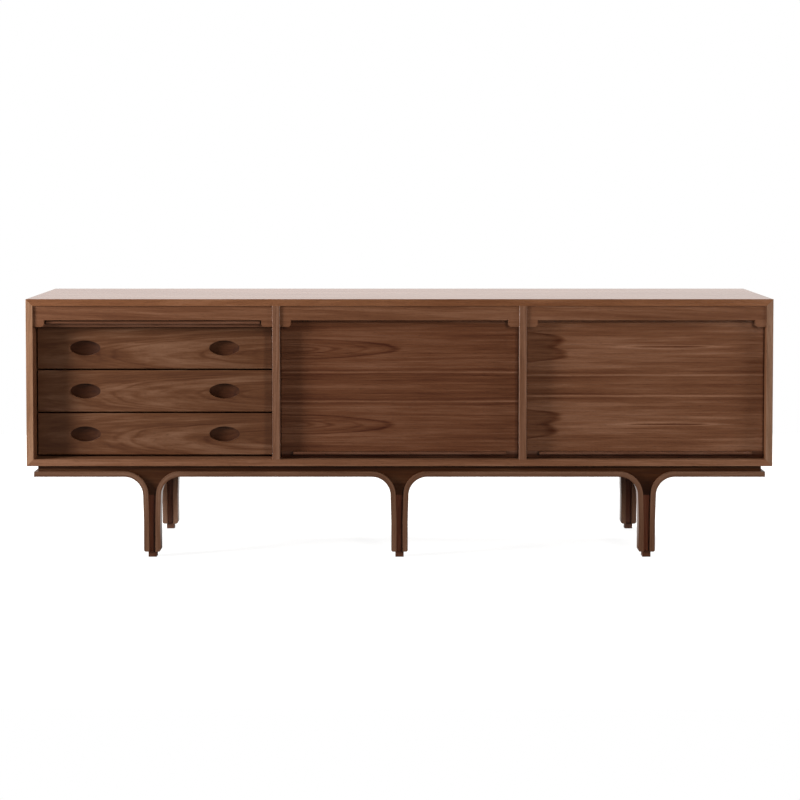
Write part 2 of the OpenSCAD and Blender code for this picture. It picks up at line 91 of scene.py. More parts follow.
def linear(colour: str) -> tuple[float, float, float, float]:
    """Turns an sRGB hex colour to linear light.

    Args:
        colour: six hex digits after a hash.

    Returns:
        Red, green and blue in linear light, and an alpha of one.
    """
    parts = [int(colour[i:i + 2], 16) / 255 for i in (1, 3, 5)]
    light = [p / 12.92 if p <= 0.04045 else ((p + 0.055) / 1.055) ** 2.4 for p in parts]
    return (light[0], light[1], light[2], 1.0)


def shade(colour: str, steps: int) -> str:
    """Makes an sRGB hex colour lighter by some of its 256 steps, or darker for steps below 0."""
    parts = (min(max(int(colour[i:i + 2], 16) + steps, 2), 255) for i in (1, 3, 5))
    return "#" + "".join(f"{p:02x}" for p in parts)


def add(tree: Tree, kind: str, inputs: dict | tuple | list = (), operation: str = "",
        **settings: object) -> Node:
    """Adds one node.

    Args:
        tree: the node tree that takes it.
        kind: the node's type, without the word that they all start with.
        inputs: its inputs in order, or by name or number: a value to set or a link for each.
        operation: what it works out, if it has a choice.
        **settings: the node's other properties.

    Returns:
        The node.
    """
    made = tree.nodes.new("ShaderNode" + kind)
    if operation:
        made.operation = operation
    for name, value in settings.items():
        setattr(made, name, value)
    for key, value in (inputs.items() if isinstance(inputs, dict) else enumerate(inputs)):
        if isinstance(value, Node):
            value = next(output for output in value.outputs if output.enabled)
        if isinstance(value, Socket):
            tree.links.new(value, made.inputs[key])
        else:
            made.inputs[key].default_value = value
    return made


def fill_ramp(ramp: Node, stops: list[tuple[float, tuple]], smooth: bool = False) -> None:
    """Gives a colour ramp its stops.

    Args:
        ramp: a colour ramp node.
        stops: place from 0 to 1 and linear colour of each stop, in order.
        smooth: eases between the stops instead of going straight.
    """
    elements = ramp.color_ramp.elements
    while len(elements) < len(stops):
        elements.new(0.5)
    for element, (place, colour) in zip(elements, stops):
        element.position = place
        element.color = colour
    ramp.color_ramp.interpolation = "EASE" if smooth else "LINEAR"


def seen_white(tree: Tree, back: Link, turns: Point2, dim: float) -> tuple[Link, Link, Link]:
    """Finds how white the surroundings look to a ray.

    The camera sees them white. Polished faces see white behind the object and a dim room before it.

    Args:
        tree: the node tree of the surroundings.
        back: how far back the ray looks or lands.
        turns: where dim starts to turn to white, and where white is reached.
        dim: how white the dim part is, from 0 to 1.

    Returns:
        How white it looks, then 1 for a ray of gloss or glass, and 1 for a ray of the camera.
    """
    rays = add(tree, "LightPath").outputs
    gloss = add(tree, "Math", (rays["Is Glossy Ray"], rays["Is Transmission Ray"]), "MAXIMUM")
    room = add(tree, "MapRange", (back, *turns, dim, 1.0))
    white = add(tree, "Math", (gloss, room), "MULTIPLY")
    white = add(tree, "Math", (white, rays["Is Camera Ray"]), "MAXIMUM")
    return white, gloss, rays["Is Camera Ray"]


# ---- finishes ----


class Grain(Enum):
    """Direction of the grain, as the axes that lie along it, across it and through the veneer."""

    ALONG_X = ("X", "Z", "Y")
    ALONG_Y = ("Y", "X", "Z")
    ALONG_Z = ("Z", "X", "Y")


@dataclass(frozen=True)
class Finish(ABC):
    """A surface of the sideboard or of the floor, by the name of its material."""

    name: str

    @abstractmethod
    def shader(self, tree: Tree) -> Node:
        """Adds the nodes that give the surface its looks and returns the one that shades it."""

    def material(self) -> Material:
        """Makes the material.

        Returns:
            The material, with its nodes.
        """
        made = bpy.data.materials.new(self.name)
        made.use_nodes = True
        made.node_tree.nodes.clear()
        surface = self.shader(made.node_tree)
        add(made.node_tree, "OutputMaterial", (surface,))
        return made


@dataclass(frozen=True)
class Fleck:
    """A lens-shaped mark in the wood, dark in the middle, with a pale rim. Lengths are in mm."""

    along: float
    across: float
    half_length: float
    half_width: float
    strength: float = 0.3
    marks: Marks = ((0, -1.0), (0.4, -0.7), (0.62, 0.8), (1.0, 0.0))  # by share of its half size


@dataclass(frozen=True)
class Figure:
    """How a leaf of veneer was sliced from its log. All lengths are in millimetres.

    The growth rings are circles about the log's heart. The heart comes nearer to the face from one
    end of the leaf to the other, so each ring comes to a point where it leaves the face.
    """

    heart: float = 0.0  # the heart's place across the grain
    depth: float = 60.0  # the heart's depth under the face, in the middle of the leaf
    rise: float = 0.02  # how much deeper it lies for each millimetre along the grain
    middle: float = 0.0  # place along the grain that depth is given for
    face: float = 0.0  # the face's own place through the veneer
    mirror: float | None = None  # line across it that two leaves are opened about like a book
    shift: float = 0.0  # how far the leaf below that line is shifted along the grain
    twin: float = 0.0  # half the distance between two hearts in one leaf, or 0 for one
    dip: float = 1.0  # how far rings dip between two hearts, as a share of their fall
    straight: float = 0.0  # how far plain lines run along the grain instead of with the rings
    waver: float = 7.0  # how far the rings stray
    strength: float = 0.32  # how strongly the rings and streaks given below show
    rings: Marks = ()  # by distance from the heart
    streaks: Marks = ()  # by distance across the grain
    flecks: tuple[Fleck, ...] = ()


@dataclass(frozen=True)
class Walnut(Finish):
    """American walnut veneer, sliced flat and brought up to a satin with clear lacquer.

    It gives the eye a cool cocoa brown with darker growth rings drawn out along the grain, fine
    open pores, and a soft sheen that turns pale where it is seen at a low angle.
    """

    grain: Grain = Grain.ALONG_X
    figure: Figure = Figure()
    laid: bool = False  # follows the slats, from where they lie when the door is shut
    mid: str = "#6b442d"  # the middle tone, and the darkest and lightest in steps from it
    dark_steps: int = -38
    light_steps: int = 34
    contrast: float = 1.0
    pore_colour: str = "#2a170e"
    pore_share: float = 0.45  # how much of that colour an open pore shows
    painted_shade_from: float | None = None  # place through the veneer past which painted shade darkens the wood, mm
    stain: str = "#b09a86"  # the painted shade's tint: what the wood's colour is multiplied by there
    stain_fade: float = 0.8  # how far past that place the painted shade is at its full strength, mm
    roughness: float = 0.33
    polish_change: float = 0.04  # how much rougher dark late wood is, and smoother pale wood
    coat: float = 0.10
    ring_width: float = 6.5  # a year's growth, mm
    ring_fade: float = 300.0  # how far across the grain a ring keeps its tone, mm
    # Fibres are about 0.1 mm wide; they are drawn 1.6 mm wide, the finest that shows.
    fibre: Point = (70, 1.6, 1.6)
    fibre_strength: float = 0.42
    # Pores are 0.2 mm wide and up to 8 mm long; they are drawn 0.8 mm wide and 14 mm long.
    pore: Point = (14, 0.8, 0.8)
    pore_depth: float = 0.15 * MM

    def coordinates(self, tree: Tree) -> Spot:
        """Finds where a point lies in the leaf.

        Args:
            tree: the material's node tree.

        Returns:
            The place in the leaf.
        """
        if self.laid:
            at = add(tree, "Attribute", attribute_name=LAID_NAME).outputs["Vector"]
        else:
            at = add(tree, "TexCoord").outputs["Object"]
        mm = add(tree, "VectorMath", {"Vector": at, "Scale": 1 / MM}, "SCALE")
        apart = add(tree, "SeparateXYZ", (mm,))
        along, across, through = (apart.outputs[axis] for axis in self.grain.value)
        return along, across, through

    def uneven(self, tree: Tree, spot: Spot, sizes: Point, detail: float,
               rough: float = 0.5) -> Link:
        """Draws light and dark patches that follow the wood.

        Args:
            tree: the material's node tree.
            spot: the place in the leaf.
            sizes: how far a patch reaches in each of the place's three directions, mm.
            detail: how many sets of finer patches lie in it.
            rough: how strong each finer set is beside the one before it.

        Returns:
            The tone there, from -0.5 to 0.5.
        """
        whole = add(tree, "CombineXYZ", spot)
        at = add(tree, "VectorMath", (whole, sizes), "DIVIDE")
        patch = add(tree, "TexNoise", {
            "Vector": at, "Scale": 1.0, "Detail": detail, "Roughness": rough,
        })
        return add(tree, "Math", (patch, 0.5), "SUBTRACT")

    def drawn(self, tree: Tree, value: Link, marks: Marks) -> Link:
        """Draws the marks that a leaf has at given distances.

        Args:
            tree: the material's node tree.
            value: a distance, mm.
            marks: the marks, in order.

        Returns:
            The tone there, from -1 to 1.
        """
        reach = marks[-1][0]
        share = add(tree, "Math", (value, reach), "DIVIDE")
        ramp = add(tree, "ValToRGB", (share,))
        stops = [(mm / reach, ((tone + 1) / 2,) * 3 + (1.0,)) for mm, tone in marks]
        fill_ramp(ramp, stops, smooth=True)
        return add(tree, "MapRange", (ramp, 0.0, 1.0, -1.0, 1.0))

    def ring_distance(self, tree: Tree, spot: Spot) -> tuple[Link, Link]:
        """Works out how far a point lies from the heart of the log.

        Args:
            tree: the material's node tree.
            spot: the place in the leaf.

        Returns:
            The distance from the heart and the distance across the grain from the leaf's edge, mm.
        """
        cut = self.figure
        along, across, through = spot
        if cut.mirror is not None:
            below = add(tree, "Math", (across, cut.mirror), "LESS_THAN")
            along = add(tree, "Math", (below, cut.shift, along), "MULTIPLY_ADD")
            off = add(tree, "Math", (across, cut.mirror), "SUBTRACT")
            across = add(tree, "Math", (off,), "ABSOLUTE")
        aside = add(tree, "Math", (across, cut.heart), "SUBTRACT")
        if cut.twin:
            aside = add(tree, "Math", (aside,), "ABSOLUTE")
            aside = add(tree, "Math", (aside, cut.twin), "SUBTRACT")
            between = add(tree, "Math", (aside, -cut.dip), "MULTIPLY")
            aside = add(tree, "Math", (aside, between), "MAXIMUM")
        depth = cut.depth - cut.rise * cut.middle - cut.face
        depth = add(tree, "Math", (along, cut.rise, depth), "MULTIPLY_ADD")
        depth = add(tree, "Math", (depth, through), "ADD")
        spread = add(tree, "CombineXYZ", (aside, depth))
        distance = add(tree, "VectorMath", (spread,), "LENGTH")
        # The rings stray slowly over a hand's width and more quickly over a finger's.
        for length, width, reach in ((420, 70, cut.waver), (80, 20, cut.waver * 0.4)):
            stray = self.uneven(tree, (along, across, through), (length, width, width), detail=1.5)
            distance = add(tree, "Math", (stray, 2 * reach, distance), "MULTIPLY_ADD")
            across = add(tree, "Math", (stray, 1.2 * reach, across), "MULTIPLY_ADD")
        return distance, across

    def tone(self, tree: Tree, spot: Spot) -> Link:
        """Works out how light the wood is.

        Args:
            tree: the material's node tree.
            spot: the place in the leaf.

        Returns:
            The tone from 0, darkest, to 1, lightest.
        """
        cut, along = self.figure, spot[0]
        distance, leaf = self.ring_distance(tree, spot)
        layers: list[tuple[Link, float]] = []
        # Colour bands a few years wide, then single years and halves, fading in and out.
        for years, length, depth in ((3.2, 700, 0.6), (1.1, 400, 0.5), (0.5, 200, 0.4)):
            wide = years * self.ring_width
            aside = 1 / (cut.straight / wide + 1 / self.ring_fade)
            sizes = (wide / (1 - cut.straight), length, aside)
            band = self.uneven(tree, (distance, along, leaf), sizes, detail=2.0, rough=0.6)
            layers.append((band, depth * self.contrast))
        for value, marks in ((distance, cut.rings), (leaf, cut.streaks)):
            if marks:
                layers.append((self.drawn(tree, value, marks), cut.strength * self.contrast))
        for fleck in cut.flecks:
            at = add(tree, "CombineXYZ", (along, leaf))
            off = add(tree, "VectorMath", (at, (fleck.along, fleck.across, 0)), "SUBTRACT")
            off = add(tree, "VectorMath", (off, (fleck.half_length, fleck.half_width, 1)),
                      "DIVIDE")
            out = add(tree, "VectorMath", (off,), "LENGTH")
            layers.append((self.drawn(tree, out, fleck.marks), fleck.strength))
        fibres = self.uneven(tree, spot, self.fibre, detail=3.0, rough=0.65)
        layers.append((fibres, self.fibre_strength))
        tone: Link | float = 0.5
        for layer, weight in layers:
            tone = add(tree, "Math", (layer, weight, tone), "MULTIPLY_ADD")
        return tone

    def shader(self, tree: Tree) -> Node:
        """Adds the wood's tones, its pores, its painted shade and the satin of the lacquer.

        Args:
            tree: the material's node tree.

        Returns:
            The node that shades the surface.
        """
        spot = self.coordinates(tree)
        tone = self.tone(tree, spot)
        pores = self.uneven(tree, spot, self.pore, detail=1.0)
        pores = add(tree, "MapRange", (pores, 0.10, 0.22))
        ramp = add(tree, "ValToRGB", (tone,))
        fill_ramp(ramp, [(0.1, linear(shade(self.mid, self.dark_steps))), (0.5, linear(self.mid)),
                         (0.9, linear(shade(self.mid, self.light_steps)))])
        share = add(tree, "Math", (pores, self.pore_share), "MULTIPLY")
        colour = add(tree, "Mix", {"Factor": share, MIX_A: ramp, MIX_B: linear(self.pore_colour)},
                     data_type="RGBA")
        # Painted shade: past a place under the face the wood is darkened, for hollows and faces
        # that light hardly reaches.
        if self.painted_shade_from is not None:
            full = self.painted_shade_from + self.stain_fade
            share = add(tree, "MapRange", (spot[2], self.painted_shade_from, full))
            colour = add(tree, "Mix", {"Factor": share, MIX_A: colour, MIX_B: linear(self.stain)},
                         data_type="RGBA", blend_type="MULTIPLY")
        dull, smooth = self.roughness + self.polish_change, self.roughness - self.polish_change
        rough = add(tree, "MapRange", (tone, 0.2, 0.8, dull, smooth))
        level = add(tree, "Math", (1.0, pores), "SUBTRACT")
        bump = add(tree, "Bump", {"Strength": 0.18, "Distance": self.pore_depth, "Height": level})
        return add(tree, "BsdfPrincipled", {
            "Base Color": colour, "Roughness": rough, "Normal": bump,
            "IOR": 1.5, "Coat Weight": self.coat, "Coat Roughness": 0.22,
        })


@dataclass(frozen=True, kw_only=True)
class BentWalnut(Walnut):
    """Walnut veneer pressed round a bend: the same satin brown, and its grain follows the strip.

    The sizes are those of the base, in millimetres.
    """

    leg_pitch: float
    bend_x: float
    bend_z: float
    bend_r: float
    leg_shift: float = 0.35  # how far along the log a leg's veneer starts, for each mm of the base

    def coordinates(self, tree: Tree) -> Spot:
        """Follows a strip down a leg, round its bend and along under the case.

        Args:
            tree: the material's node tree.

        Returns:
            The place along the strip, across its plies and front to back.
        """
        at = add(tree, "TexCoord").outputs["Object"]
        mm = add(tree, "VectorMath", {"Vector": at, "Scale": 1 / MM}, "SCALE")
        apart = add(tree, "SeparateXYZ", (mm,)).outputs
        off = add(tree, "Math", (apart["X"],), "ABSOLUTE")
        outer = add(tree, "Math", (off, self.leg_pitch), "SUBTRACT")
        outer = add(tree, "Math", (outer,), "ABSOLUTE")
        off = add(tree, "Math", (off, outer), "MINIMUM")
        # Offsets from the bend's centre: towards the leg, and upwards.
        side = add(tree, "Math", (off, self.bend_x), "SUBTRACT")
        rise = add(tree, "Math", (apart["Z"], self.bend_z), "SUBTRACT")
        to_leg = add(tree, "Math", (side, 0.0), "MINIMUM")
        up = add(tree, "Math", (rise, 0.0), "MAXIMUM")
        spread = add(tree, "CombineXYZ", (to_leg, up))
        across = add(tree, "VectorMath", (spread,), "LENGTH")
        back = add(tree, "Math", (to_leg, -1.0), "MULTIPLY")
        turn = add(tree, "Math", (up, back), "ARCTAN2")
        down = add(tree, "Math", (rise, 0.0), "MINIMUM")
        out = add(tree, "Math", (side, 0.0), "MAXIMUM")
        along = add(tree, "Math", (turn, self.bend_r, down), "MULTIPLY_ADD")
        along = add(tree, "Math", (along, out), "ADD")
        # Each leg and each side of it starts from another part of the log.
        along = add(tree, "Math", (apart["X"], self.leg_shift, along), "MULTIPLY_ADD")
        return along, across, apart["Y"]


@dataclass(frozen=True)
class BareMaple(Finish):
    """Hard maple, planed, with a thin matt oil: pale cream with faint fine lines and no shine."""

    grain: Grain = Grain.ALONG_Y
    dark: str = "#b08d63"
    light: str = "#d9bf98"
    # Growth lines are 2 to 5 mm apart and run on for the length of the board.
    lines_a_metre: float = 240.0
    runs_a_metre: float = 1.5
    broad_share: float = 0.12  # how many broad bands there are for each line

    def shader(self, tree: Tree) -> Node:
        """Adds the growth lines and the matt oil.

        Args:
            tree: the material's node tree.

        Returns:
            The node that shades the surface.
        """
        at = add(tree, "TexCoord").outputs["Object"]
        scale = [self.runs_a_metre if axis == self.grain.value[0] else self.lines_a_metre
                 for axis in "XYZ"]
        layers = []
        for share, detail, rough in ((1.0, 4.0, 0.6), (self.broad_share, 2.0, 0.5)):
            place = add(tree, "VectorMath", (at, [s * share for s in scale]), "MULTIPLY")
            layers.append(add(tree, "TexNoise", {
                "Vector": place, "Scale": 1.0, "Detail": detail, "Roughness": rough,
            }))
        both = add(tree, "Math", layers, "ADD")
        half = add(tree, "Math", (both, 0.5), "MULTIPLY")
        ramp = add(tree, "ValToRGB", (half,))
        fill_ramp(ramp, [(0.3, linear(self.dark)), (0.62, linear(self.light))])
        bump = add(tree, "Bump", {"Strength": 0.12, "Distance": 0.1 * MM, "Height": layers[0]})
        return add(tree, "BsdfPrincipled", {
            "Base Color": ramp, "Roughness": 0.55, "IOR": 1.5, "Normal": bump,
        })


@dataclass(frozen=True)
class GluedCanvas(Finish):
    """Unbleached cotton canvas in plain weave, glued down: dull oatmeal with a woven tooth."""

    thread: float = 1.6  # mm; real threads are 0.6 mm apart, drawn coarser so that they show
    slubs_a_metre: float = 90.0  # thick places in the yarn, about 11 mm apart
    dark: str = "#a8987c"
    light: str = "#cfc2a8"

    def shader(self, tree: Tree) -> Node:
        """Adds the weave and the slubs of its yarn.

        Args:
            tree: the material's node tree.

        Returns:
            The node that shades the surface.
        """
        at = add(tree, "Attribute", attribute_name=LAID_NAME).outputs["Vector"]
        apart = add(tree, "SeparateXYZ", (at,))
        turns = math.pi / (self.thread * MM)
        threads = [add(tree, "Math", (apart.outputs[axis], turns), "MULTIPLY") for axis in "XZ"]
        warp, weft = (add(tree, "Math", (thread,), "SINE") for thread in threads)
        weave = add(tree, "Math", (warp, weft), "MULTIPLY")
        height = add(tree, "MapRange", (weave, -1.0, 1.0))
        slub = add(tree, "TexNoise", {"Vector": at, "Scale": self.slubs_a_metre, "Detail": 3.0})
        both = add(tree, "Math", (height, slub), "MULTIPLY")
        ramp = add(tree, "ValToRGB", (both,))
        fill_ramp(ramp, [(0.1, linear(self.dark)), (0.5, linear(self.light))])
        bump = add(tree, "Bump", {"Strength": 0.4, "Distance": 0.3 * MM, "Height": height})
        return add(tree, "BsdfPrincipled", {
            "Base Color": ramp, "Roughness": 0.9, "IOR": 1.45,
            "Sheen Weight": 0.15, "Normal": bump,
        })


@dataclass(frozen=True)
class ZincedSteel(Finish):
    """Zinc-plated steel of pins and screws: a bluish grey metal with a fine uneven bloom."""

    dark: str = "#8f9294"
    light: str = "#c2c4c3"
    blooms_a_metre: float = 900.0  # patches of the plating, about 1 mm wide

    def shader(self, tree: Tree) -> Node:
        """Adds the plating's bloom.

        Args:
            tree: the material's node tree.

        Returns:
            The node that shades the surface.
        """
        at = add(tree, "TexCoord").outputs["Object"]
        bloom = add(tree, "TexNoise", {"Vector": at, "Scale": self.blooms_a_metre, "Detail": 3.0})
        ramp = add(tree, "ValToRGB", (bloom,))
        fill_ramp(ramp, [(0.35, linear(self.dark)), (0.65, linear(self.light))])
        rough = add(tree, "MapRange", (bloom, 0.0, 1.0, 0.28, 0.42))
        return add(tree, "BsdfPrincipled", {
            "Base Color": ramp, "Metallic": 1.0, "Roughness": rough,
        })


@dataclass(frozen=True)
class PaleFloor(Finish):
    """Matt white studio floor: it stays white to the camera and keeps the object's shadow."""

    colour: str = "#989795"
    reflected: str = "#4a4947"  # its colour as polished faces see it
    glow: float = 0.88

    def shader(self, tree: Tree) -> Node:
        """Adds the matt floor and the glow that brings it to white.

        Args:
            tree: the material's node tree.

        Returns:
            The node that shades the surface.
        """
        at = add(tree, "TexCoord").outputs["Object"]
        back = add(tree, "SeparateXYZ", (at,)).outputs["Y"]
        white, gloss, _ = seen_white(tree, back, turns=(-0.1, 0.5), dim=0.0)
        tint = add(tree, "Mix", {
            "Factor": gloss, MIX_A: linear(self.colour), MIX_B: linear(self.reflected),
        }, data_type="RGBA")
        matt = add(tree, "BsdfDiffuse", (tint,))
        glow = add(tree, "Emission", (linear("#ffffff"), self.glow))
        both = add(tree, "AddShader", (matt, glow))
        return add(tree, "MixShader", (white, matt, both))


def dress(finish: Finish, slot: str, *nodes: str) -> list[Piece]:
    """Gives carried-over nodes their finish.

    Args:
        finish: what they get.
        slot: the name of a material slot; not used.
        *nodes: the nodes' names.

    Returns:
        The nodes' objects.
    """
    material = finish.material()
    pieces = [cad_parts[name] for name in nodes]
    for piece in pieces:
        piece.data.materials.clear()
        piece.data.materials.append(material)
    return pieces


# ---- objects ----


def show(name: str, data: bpy.types.ID) -> Piece:
    """Makes an object and puts it in the scene.

    Args:
        name: the object's name.
        data: its mesh, camera or light.

    Returns:
        The object.
    """
    made = bpy.data.objects.new(name, data)
    bpy.context.scene.collection.objects.link(made)
    return made


@dataclass
class Solid:
    """Gathers the points and faces of one piece."""

    points: list[Point] = field(default_factory=list)
    faces: list[tuple[int, ...]] = field(default_factory=list)
    laid: list[Point] = field(default_factory=list)

    def prism(self, outline: Outline, x0: float, x1: float, laid: Outline | None = None) -> None:
        """Adds a bar along X with the outline given.

        Args:
            outline: its outline.
            x0: left end.
            x1: right end.
            laid: the outline where the bar lies when the door is shut, if that is elsewhere.
        """
        first, count = len(self.points), len(outline)
        for x in (x0, x1):
            self.points += [(x, y, z) for y, z in outline]
            self.laid += [(x, y, z) for y, z in (laid or outline)]
        self.faces.append(tuple(first + i for i in range(count)))
        self.faces.append(tuple(first + count + i for i in reversed(range(count))))
        for i in range(count):
            j = (i + 1) % count
            self.faces.append((first + i, first + count + i, first + count + j, first + j))

    def piece(self, name: str, material: Material) -> Piece:
        """Makes the object.

        Args:
            name: the piece's name.
            material: its material.

        Returns:
            The object, in the scene.
        """
        mesh = bpy.data.meshes.new(name)
        mesh.from_pydata(self.points, [], self.faces)
        flat = np.array(self.laid, np.float32).ravel()
        mesh.attributes.new(LAID_NAME, "FLOAT_VECTOR", "POINT").data.foreach_set("vector", flat)
        mesh.materials.append(material)
        mesh.validate()
        made = show(name, mesh)
        set_outward(made)
        return made


def set_outward(piece: Piece) -> None:
    """Turns every face of a closed mesh outwards.

    Args:
        piece: the object that has the mesh.
    """
    work = bmesh.new()
    work.from_mesh(piece.data)
    bmesh.ops.recalc_face_normals(work, faces=work.faces)
    work.to_mesh(piece.data)
    work.free()


# ---- sideboard ----


class Bay(Enum):
    """The three bays, each with its place as a multiple of the bays' distance."""

    LEFT = -1
    CENTRE = 0
    RIGHT = 1

    @property
    def word(self) -> str:
        """The bay's name in the nodes' names."""
        return self.name.lower()


@dataclass
class Base:
    """The leg frames: bent strips on both sides of each core, under a neck rail."""

    leg_pitch: float = 764.033 * MM
    bend_x: float = 85.7 * MM
    bend_z: float = 192.2 * MM
    bend_r: float = 58 * MM

    def build(self) -> list[Piece]:
        """Gives the strips, cores, rails and feet their finishes.

        Returns:
            The base's pieces.
        """
        strips = BentWalnut(
            "walnut_bent_strip", figure=Figure(heart=-40, depth=120, rise=0.03, waver=3),
            mid="#654532", leg_pitch=self.leg_pitch / MM, bend_x=self.bend_x / MM,
            bend_z=self.bend_z / MM, bend_r=self.bend_r / MM)
        pieces = dress(strips, "strip_walnut", *(
            f"{row}_{side}_{part}" for row in ("front", "rear")
            for side in ("left", "right") for part in ("end_strip", "arch")))
        pieces += dress(Walnut("walnut_end_rail", grain=Grain.ALONG_Y,
                               figure=Figure(heart=700, depth=90, rise=0.03)),
                        "strip_walnut", "end_rails")
        for name, grain, heart, rise, mid, nodes in (
            ("walnut_core", Grain.ALONG_Z, 30, 0.05, "#653520", ("leg_cores",)),
            ("walnut_foot", Grain.ALONG_Z, 30, 0.05, "#52301f", ("feet",)),
            # Painted shade: the neck rails, webs and cross rails get a far darker tone than the
            # cores, for the shade under the case.
            ("walnut_neck", Grain.ALONG_X, 200, 0.01, "#3a1b05",
             ("front_neck_rail", "rear_neck_rail", "leg_webs")),
            ("walnut_cross_rail", Grain.ALONG_Y, 30, 0.03, "#3a1b05", ("cross_rails",)),
        ):
            # Solid walnut in the tone of the strips, without the lacquer's clear coat.
            plain = Walnut(name, grain=grain, figure=Figure(heart=heart, depth=300, rise=rise),
                           mid=mid, roughness=0.34, coat=0.0)
            pieces += dress(plain, "core_walnut", *nodes)
        return pieces


@dataclass
class Case:
    """Boards, dividers, fascias, shelves and back panels."""

    screws_a_row: int = 4
    screw_edge: float = 4.5 * MM  # from the panel's upper or lower edge
    screw_margin: float = 30 * MM  # from the panel's left or right edge
    screw_radius: float = 3.4 * MM
    screw_sides: int = 20
    # A head from its rim to its recess: share of the radius, and how far it stands off the panel.
    screw_profile: tuple[Point2, ...] = (
        (1.0, -0.4 * MM), (1.0, 0.35 * MM), (0.8, 0.6 * MM), (0.3, 0.6 * MM), (0.12, -0.2 * MM))

    def build(self) -> list[Piece]:
        """Gives every board its veneer and adds the screws.

        Returns:
            The case's pieces.
        """
        tall, words = Grain.ALONG_Z, [bay.word for bay in Bay]
        return [
            *dress(Walnut("walnut_top_veneer", mid="#794e33", contrast=0.8,
                          figure=Figure(heart=650, depth=-560, rise=0.012, waver=9),
                          roughness=0.27, coat=0.3),
                   "case_veneer", "top_panel"),
            *dress(Walnut("walnut_bottom_veneer", mid="#734b33",
                          figure=Figure(heart=180, depth=330, rise=0.02)),
                   "case_veneer", "bottom_panel"),
            # Painted light: the faces behind the front edges are painted darker, so only the front
            # edges keep the middle tone and look lit; the left side's lighter tone is a painted
            # highlight from the light at the left.
            *dress(Walnut("walnut_left_side_veneer", grain=tall, mid="#896349",
                          figure=Figure(heart=-1300, depth=60, rise=0.05, middle=500),
                          painted_shade_from=-229.6, stain="#dac4b8"),
                   "case_veneer", "left_side"),
            *dress(Walnut("walnut_right_side_veneer", grain=tall, mid="#7b5b46",
                          figure=Figure(heart=1290, depth=40, rise=0.04, middle=500),
                          painted_shade_from=-229.6, stain="#f0d4be"),
                   "case_veneer", "right_side"),
            *dress(Walnut("walnut_divider_veneer", grain=tall, mid="#6c4833",
                          figure=Figure(heart=90, depth=260, rise=0.08, middle=500)),
                   "case_veneer", "left_divider", "right_divider"),
            *dress(Walnut("walnut_fascia_veneer",
                          figure=Figure(heart=660, depth=330, rise=0.03, waver=5)),
                   "fascia_veneer", *(f"{word}_fascia" for word in words)),
            *dress(Walnut("walnut_inner_veneer", figure=Figure(heart=300, depth=90, rise=0.05)),
                   "inner_veneer", "centre_shelf", "right_shelf",
                   *(f"{word}_sub_top" for word in words)),
            *dress(Walnut("walnut_back_veneer", grain=tall, contrast=0.8,
                          figure=Figure(heart=60, depth=-160, rise=0.06, middle=500, waver=9)),
                   "back_veneer", *(f"{word}_back_panel" for word in words)),
            *dress(ZincedSteel("zinced_pin_steel"), "pin_steel", "shelf_pins"),
            *self.screws(ZincedSteel("zinced_screw_steel").material()),
        ]

    def screws(self, steel: Material) -> list[Piece]:
        """Adds the countersunk screws that hold the back panels.

        Args:
            steel: the screws' material.

        Returns:
            A piece for each panel, with all of its screws.
        """
        pieces = []
        for bay in Bay:
            low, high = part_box(f"{bay.word}_back_panel")
            solid = Solid()
            across = np.linspace(low[0] + self.screw_margin, high[0] - self.screw_margin,
                                 self.screws_a_row)
            for z in (low[2] + self.screw_edge, high[2] - self.screw_edge):
                for x in across:
                    self.add_screw(solid, float(x), high[1], z)
            made = solid.piece(f"{bay.word}_back_screws", steel)
            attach(made, "case")
            pieces.append(made)
        return pieces

    def add_screw(self, solid: Solid, x: float, y: float, z: float) -> None:
        """Adds one flat screw head with a small recess in its middle.

        Args:
            solid: what takes it.
            x: place along the case.
            y: the panel's rear face.
            z: height.
        """
        first, sides, rings = len(solid.points), self.screw_sides, len(self.screw_profile)
        for share, out in self.screw_profile:
            for k in range(sides):
                a, radius = 2 * math.pi * k / sides, share * self.screw_radius
                at = (x + radius * math.cos(a), y + out, z + radius * math.sin(a))
                solid.points.append(at)
                solid.laid.append(at)
        for ring in range(rings - 1):
            a, b = first + ring * sides, first + (ring + 1) * sides
            for k in range(sides):
                n = (k + 1) % sides
                solid.faces.append((a + k, a + n, b + n, b + k))
        for ring in (0, rings - 1):
            solid.faces.append(tuple(first + ring * sides + k for k in range(sides)))


@dataclass(frozen=True)
class Track:
    """The path of the slats' backs: upright, round a bend, then flat to the rear."""

    back_y: float = -193.8 * MM
    foot_z: float = 304.5 * MM
    bend_z: float = 732 * MM
    radius: float = 36.4 * MM

    def place(self, s: float, forward: float, along: float = 0.0) -> Point2:
        """Finds a point of something that slides in the track.

        Args:
            s: length along the track to the middle of the thing.
            forward: how far the point stands off the track, towards the door's face.
            along: how far it lies past the middle.

        Returns:
            Its y and z.
        """
        past = s - (self.bend_z - self.foot_z)  # length past the upright part
        turn = min(max(past / self.radius, 0.0), math.pi / 2)
        if turn <= 0:
            return self.back_y - forward, self.foot_z + s + along
        centre_y, out = self.back_y + self.radius, self.radius + forward
        if turn >= math.pi / 2:
            return centre_y + past - self.radius * math.pi / 2 + along, self.bend_z + out
        sin, cos = math.sin(turn), math.cos(turn)
        return centre_y - out * cos + along * sin, self.bend_z + out * sin + along * cos


UPRIGHT = Track(bend_z=10.0)  # a track that never bends, on which a shut door's slats are laid out


